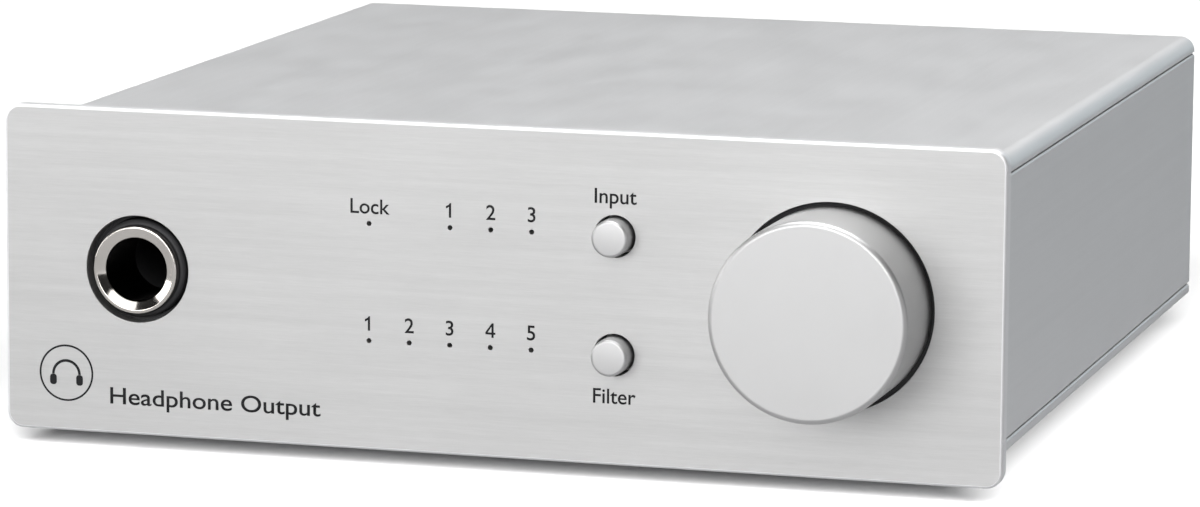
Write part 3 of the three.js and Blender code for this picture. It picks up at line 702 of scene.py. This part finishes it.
def build_foot(corner):
    node = "foot_" + corner
    low, high, middle = node_box(node)
    radius = high.x - middle.x
    sole = radius - FOOT["taper"]
    rounding, bore, recess = FOOT["round"], FOOT["bore"], FOOT["recess"]
    chamfer, recess_chamfer = FOOT["top_chamfer"], FOOT["recess_chamfer"]
    profile = [(bore, high.z), (radius - chamfer, high.z), (radius, high.z - chamfer)]
    profile += arc((sole - rounding, low.z + rounding), rounding, 0, -90, 6)
    profile += [(recess + recess_chamfer, low.z), (recess, low.z + recess_chamfer)]
    profile += [(recess, low.z + FOOT["recess_top"]), (bore, low.z + FOOT["recess_top"])]
    foot = smooth(lathe("pad_" + corner, profile, (middle.x, middle.y), axis="Z", segments=72))
    finish_piece(foot, "rubber", node)

    node = "foot_screw_" + corner
    low, high, middle = node_box(node)
    head, rounding = FOOT_SCREW["head"], FOOT_SCREW["round"]
    shoulder = low.z + FOOT_SCREW["height"]
    profile = [(0, high.z), (SCREW["shank"], high.z), (SCREW["shank"], shoulder), (head, shoulder)]
    profile += arc((head - rounding, low.z + rounding), rounding, 0, -90, 5) + [(0, low.z)]
    screw = lathe("screw_" + corner, profile, (middle.x, middle.y), axis="Z", segments=48)
    cut_cross(screw, low.z - PAST, low.z + FOOT_SCREW["slot"], middle, "xy")
    finish_piece(screw, "steel", node)


# ------------------------------------------------------------------ rear sockets

def build_phono(name, slot):
    """A phono socket: its coloured body with collar and stem, and the plated shell."""
    shell_low, shell_high, middle = node_box(name + "_shell")
    low, high, _ = node_box(name + "_socket")
    centre = (middle.x, middle.z)
    collar_back = node_box("rear_panel")[1].y + PHONO["proud"]
    front = node_box("top_cover")[1].y - PAST
    collar, stem, pin = PHONO["collar"], PHONO["stem"], PHONO["pin"]
    rounding, chamfer = PHONO["collar_round"], PHONO["stem_chamfer"]
    profile = [(0, collar_back - PHONO["pin_depth"]), (pin, collar_back - PHONO["pin_depth"])]
    profile += [(pin, high.y - chamfer), (pin + chamfer, high.y), (stem - chamfer, high.y)]
    profile += [(stem, high.y - chamfer), (stem, collar_back)]
    profile += arc((collar - rounding, collar_back - rounding), rounding, 90, 0, 6)
    profile += [(collar, front), (0, front)]
    core = lathe("core_" + name, profile, centre)
    boolean(core, [block("housing", low, (high.x, front + PHONO["housing"], high.z))], "UNION")
    finish_piece(smooth(core), slot, name + "_socket")

    bore, radius, end = PHONO["bore"], PHONO["radius"], shell_high.y
    rounding, chamfer = PHONO["shell_round"], PHONO["bore_chamfer"]
    profile = [(bore, shell_low.y), (bore, end - chamfer), (bore + chamfer, end)]
    profile += arc((radius - rounding, end - rounding), rounding, 90, 0, 6) + [(radius, shell_low.y)]
    shell = smooth(lathe("shell_" + name, profile, centre))
    finish_piece(shell, "nickel", name + "_shell")


def build_optical():
    """The optical socket's housing, hollow behind a square mouth, and the shutter that closes it."""
    low, high, middle = node_box("optical_socket")
    x, half = middle.x, MOUTH["size"] / 2
    lip_front = high.y - MOUTH["lip"]
    top = MOUTH["bottom"] + MOUTH["size"]
    body = block("optical_housing", low, high)
    hollow_low = (x - half - MOUTH["side"], lip_front - MOUTH["depth"], MOUTH["bottom"] - MOUTH["below"])
    hollow = block("tool", hollow_low, (x + half + MOUTH["side"], lip_front, top + MOUTH["above"]))
    mouth = rounded_outline((x - half, MOUTH["bottom"]), (x + half, top), MOUTH["corner"], 4)
    boolean(body, [hollow, prism("tool", mouth, (lip_front - PAST, high.y + PAST))])
    finish_piece(soften(body, MOUTH["edge"]), "black_plastic", "optical_socket")

    low, high, middle = node_box("optical_shutter")
    radius = (high.y - low.y) / 2
    outline = arc((middle.y, high.z - radius), radius, -20, 200, 14)
    outer, inner, tip = SHUTTER_TIP["outer"], SHUTTER_TIP["inner"], low.z + SHUTTER_TIP["height"]
    outline += [(low.y + outer, tip), (low.y + inner, low.z)]
    outline += [(high.y - inner, low.z), (high.y - outer, tip)]
    shutter = smooth(prism("optical_leaf", outline, (low.x, high.x), axis="X"))
    finish_piece(
        shutter, "black_plastic", "optical_shutter", body="optical_flap", material="shutter_plastic"
    )


def build_usb():
    low, high, middle = node_box("usb_socket")
    half, slope = USB_MOUTH["width"] / 2, USB_MOUTH["slope"]
    bottom, top = middle.z - USB_MOUTH["height"] / 2, middle.z + USB_MOUTH["height"] / 2
    x = middle.x
    outline = [(x - half, bottom), (x + half, bottom), (x + half, top - slope), (x + half - slope, top)]
    outline += [(x - half + slope, top), (x - half, top - slope)]
    shell = block("usb_shell", low, high)
    boolean(shell, [prism("tool", outline, (high.y - USB_MOUTH["depth"], high.y + PAST))])
    finish_piece(soften(shell, EDGE["usb_shell"]), "nickel", "usb_socket")
    low, high, _ = node_box("usb_tongue")
    insert = soften(block("usb_insert", low, high), EDGE["usb_tongue"])
    finish_piece(insert, "white_plastic", "usb_tongue")


def build_dc():
    low, high, middle = node_box("dc_inlet")
    centre = (middle.x, DC_HOLE["z"])
    hole_front = high.y - DC_HOLE["depth"]
    body = block("dc_housing", low, high)
    radius = DC_HOLE["radius"]
    profile = [(0, hole_front), (radius, hole_front), (radius, high.y + PAST), (0, high.y + PAST)]
    boolean(body, [lathe("tool", profile, centre, segments=64)])
    soften(body, EDGE["dc"])
    pin, rounding, pin_back = DC_HOLE["pin"], DC_HOLE["pin_round"], high.y - DC_HOLE["set_back"]
    profile = [(0, hole_front - DC_HOLE["root"]), (pin, hole_front - DC_HOLE["root"])]
    profile += arc((pin - rounding, pin_back - rounding), rounding, 0, 90, 5) + [(0, pin_back)]
    boolean(body, [lathe("tool", profile, centre, segments=32)], "UNION")
    finish_piece(smooth(body), "black_plastic", "dc_inlet")


# ------------------------------------------------------------------ printing

def flat_mesh(data):
    """The filled outline of a text or a flat curve."""
    obj = add_object("outline", data)
    bpy.context.view_layer.update()
    mesh = bpy.data.meshes.new_from_object(obj)
    bpy.data.objects.remove(obj)
    return mesh


def text_mesh(text):
    curve = bpy.data.curves.new("text", "FONT")
    curve.body = text
    curve.align_x = "CENTER"
    curve.offset = PRINT["bolder"]
    return flat_mesh(curve)


def add_print(name, mesh, x, z, scale_x=1.0, scale_z=1.0):
    """Ink on the fascia from a flat mesh, its origin placed at x and z."""
    ink_middle = node_box("front_panel")[0].y
    for vertex in mesh.vertices:
        place = (x + vertex.co.x * scale_x, ink_middle, z + vertex.co.y * scale_z)
        vertex.co = Vector(place) * MM
    piece = add_object(name, mesh)
    ink = piece.modifiers.new("ink", "SOLIDIFY")
    ink.thickness = PRINT["depth"] * MM
    ink.offset = 0
    apply_modifiers(piece)
    finish_piece(piece, "black_plastic", material="ink")


def add_word(name, text, x, z, cap, width=None):
    """A printed word or number centred on x with its foot at z, fitted to a width if one is given."""
    capital = max(v.co.y for v in text_mesh("H").vertices)
    mesh = text_mesh(text)
    natural = max(v.co.x for v in mesh.vertices) - min(v.co.x for v in mesh.vertices)
    add_print(name, mesh, x, z, width / natural if width else cap / capital, cap / capital)


def loops_mesh(loops):
    """The flat area between closed outlines of (x, z) points."""
    curve = bpy.data.curves.new("loops", "CURVE")
    curve.dimensions = "2D"
    curve.fill_mode = "BOTH"
    for loop in loops:
        spline = curve.splines.new("POLY")
        spline.points.add(len(loop) - 1)
        for point, (u, v) in zip(spline.points, loop):
            point.co = (u, v, 0, 1)
        spline.use_cyclic_u = True
    return flat_mesh(curve)


def add_figure(name, figure, x, z, cap):
    """A 1 with a slanting flag or a 4 with an open eye, which the built-in font doesn't draw well.

    Its outline is in capital heights from the middle of its foot.
    """
    if figure == "1":
        outline = [(-0.08, 0), (0.085, 0), (0.085, 1), (-0.01, 1), (-0.12, 0.87)]
        outline += [(-0.29, 0.79), (-0.29, 0.62), (-0.17, 0.67), (-0.08, 0.74)]
        loops = [outline]
    else:
        outline = [(0.08, 0), (0.235, 0), (0.235, 0.22), (0.36, 0.22), (0.36, 0.36), (0.235, 0.36)]
        outline += [(0.235, 1), (0.1, 1), (-0.35, 0.37), (-0.35, 0.22), (0.08, 0.22)]
        eye = [(0.08, 0.36), (0.08, 0.76), (-0.19, 0.36)]
        loops = [outline, eye]
    add_print(name, loops_mesh(loops), x, z, cap, cap)


def build_pictogram(x, z):
    """A plain headphone sign in a thin ring."""
    loops = [arc((0, 0), radius, 0, 360, 72)[:-1] for radius in PICTOGRAM["ring"]]
    outer, inner = PICTOGRAM["band"]
    crown = (0, PICTOGRAM["band_z"])
    loops.append(arc(crown, outer, 180, 0, 32) + arc(crown, inner, 0, 180, 32))
    half = PICTOGRAM["cup_half"]
    for middle in (-PICTOGRAM["cup_x"], PICTOGRAM["cup_x"]):
        low, high = (middle - half, PICTOGRAM["cup_bottom"]), (middle + half, PICTOGRAM["cup_top"])
        loops.append(rounded_outline(low, high, PICTOGRAM["cup_corner"], 6))
    add_print("print_pictogram", loops_mesh(loops), x, z)


def build_printing():
    for name, place in indicator_places().items():
        number = name.rsplit("_", 1)[1]
        piece, foot = "print_" + name[4:], place.z + PRINT["rise"]
        if number in ("1", "4"):
            add_figure(piece, number, place.x, foot, PRINT["cap"])
        else:
            add_word(piece, number if number.isdigit() else "Lock", place.x, foot, PRINT["cap"])
    upper = node_box("button_input")[2]
    lower = node_box("button_filter")[2]
    add_word("print_input", "Input", upper.x, upper.z + PRINT["above"], PRINT["cap"])
    add_word("print_filter", "Filter", lower.x, lower.z - PRINT["below"], PRINT["cap"])
    jack = node_box("jack_ferrule")[2]
    x, z = jack.x + SOCKET_LABEL["right"], jack.z - SOCKET_LABEL["below"]
    add_word("print_output", "Headphone Output", x, z, SOCKET_LABEL["cap"], SOCKET_LABEL["width"])
    build_pictogram(jack.x - PICTOGRAM["left"], jack.z - PICTOGRAM["below"])


# ------------------------------------------------------------------ stage, light and camera

FLOOR = {"reach": 4000, "bounced": (0.31, 0.31, 0.315, 1), "shown": (0.95, 0.95, 0.95, 1)}


def build_floor():
    """A floor that is nearly white to the camera, but bounces only about a third of its light back."""
    reach = FLOOR["reach"]
    corners = [(-reach, -reach, 0), (reach, -reach, 0), (reach, reach, 0), (-reach, reach, 0)]
    floor = add_mesh("floor", corners, [(0, 1, 2, 3)])
    shader = Shader("floor_paint", roughness=0.9)
    shader.bsdf.inputs["Specular IOR Level"].default_value = 0.0
    path = shader.nodes.new("ShaderNodeLightPath")
    tone, bounced, shown, result = shader.color_mix()
    bounced.default_value = FLOOR["bounced"]
    shown.default_value = FLOOR["shown"]
    shader.links.new(path.outputs["Is Camera Ray"], tone.inputs["Factor"])
    shader.links.new(result, shader.bsdf.inputs["Base Color"])
    floor.data.materials.append(shader.material)


# The softboxes only show in reflections. One more light, from the front, does the diffuse lighting and
# reaches under the object's front edge, so that the shadow on the floor is a narrow one. Each light is:
# azimuth (0 in front, 90 on the right), elevation, distance in metres, size in metres, watts.
SOFTBOXES = {
    "front": (-8, 13, 1.3, (1.2, 0.55), 9.1),
    "left": (-75, 13, 1.3, (0.9, 0.55), 4.3),
    "right": (75, 13, 1.3, (0.9, 0.55), 1.2),
    "back_left": (-120, 13, 1.3, (0.9, 0.55), 12.5),
    "back_right": (150, 13, 1.3, (0.9, 0.55), 1.4),
    "above": (0, 42, 1.1, (0.9, 0.5), 2.2),
    "back": (160, 45, 1.0, (0.6, 0.5), 1.8),
    "top": (0, 89, 0.9, (0.8, 0.8), 9.7),
}
FLOOR_LIGHT = (20, 25, 2.8, (3.0, 1.5), 340)
AIM = (0, 0, 0.015)
AMBIENT = 0.02
COOL = (0.84, 0.95, 1.0)


def add_area_light(name, azimuth, elevation, distance, size, power):
    light = bpy.data.lights.new(name, "AREA")
    light.shape = "RECTANGLE"
    light.size, light.size_y = size
    light.energy = power
    obj = add_object(name, light)
    across, up = math.radians(azimuth), math.radians(elevation)
    way = Vector((math.sin(across) * math.cos(up), -math.cos(across) * math.cos(up), math.sin(up)))
    obj.location = way * distance
    obj.rotation_euler = (Vector(AIM) - obj.location).to_track_quat("-Z", "Y").to_euler()
    obj.visible_camera = False
    return obj


def build_light():
    world = bpy.data.worlds.new("studio")
    world.use_nodes = True
    background = world.node_tree.nodes["Background"]
    background.inputs["Color"].default_value = (1, 1, 1, 1)
    background.inputs["Strength"].default_value = AMBIENT
    scene.world = world
    for name, settings in SOFTBOXES.items():
        softbox = add_area_light("softbox_" + name, *settings)
        softbox.visible_diffuse = False
        if name == "back_right":
            softbox.data.color = COOL
    add_area_light("floor_light", *FLOOR_LIGHT).visible_glossy = False
    scene.view_settings.view_transform = "Standard"


# Degrees, millimetres of lens and sensor, and the camera's place from the middle of the fascia's face.
CAMERA = {
    "azimuth": 16.23, "elevation": 9.27, "roll": 0.39, "lens": 171.85, "sensor": 36, "nearest": 0.01,
    "from_face": (165.5, -530.95, 94.75),
}


def build_camera():
    low, _, middle = node_box("front_panel")
    face = Vector((middle.x, low.y, middle.z))
    data = bpy.data.cameras.new("camera")
    data.lens = CAMERA["lens"]
    data.sensor_width = CAMERA["sensor"]
    data.clip_start = CAMERA["nearest"]
    camera = add_object("camera", data)
    tilt, across = math.radians(90 - CAMERA["elevation"]), math.radians(CAMERA["azimuth"])
    turn = Euler((tilt, 0, across), "XYZ").to_matrix()
    camera.rotation_euler = (turn @ Matrix.Rotation(math.radians(CAMERA["roll"]), 3, "Z")).to_euler()
    camera.location = (face + Vector(CAMERA["from_face"])) * MM
    scene.camera = camera


# ------------------------------------------------------------------ everything together

build_camera()
dress_cad_nodes()
build_fascia()
build_covers()
build_side("side_panel_left", -1)
build_side("side_panel_right", 1)
build_rear_panel()
build_knob()
build_button("button_input", "input_button")
build_button("button_filter", "filter_button")
build_jack()
for screw_number in range(1, 5):
    build_rear_screw(screw_number)
for foot_corner in ("front_left", "front_right", "rear_left", "rear_right"):
    build_foot(foot_corner)
build_phono("line_left", "white_plastic")
build_phono("line_right", "red_plastic")
build_phono("coax", "amber_plastic")
build_optical()
build_usb()
build_dc()
build_printing()
build_floor()
build_light()
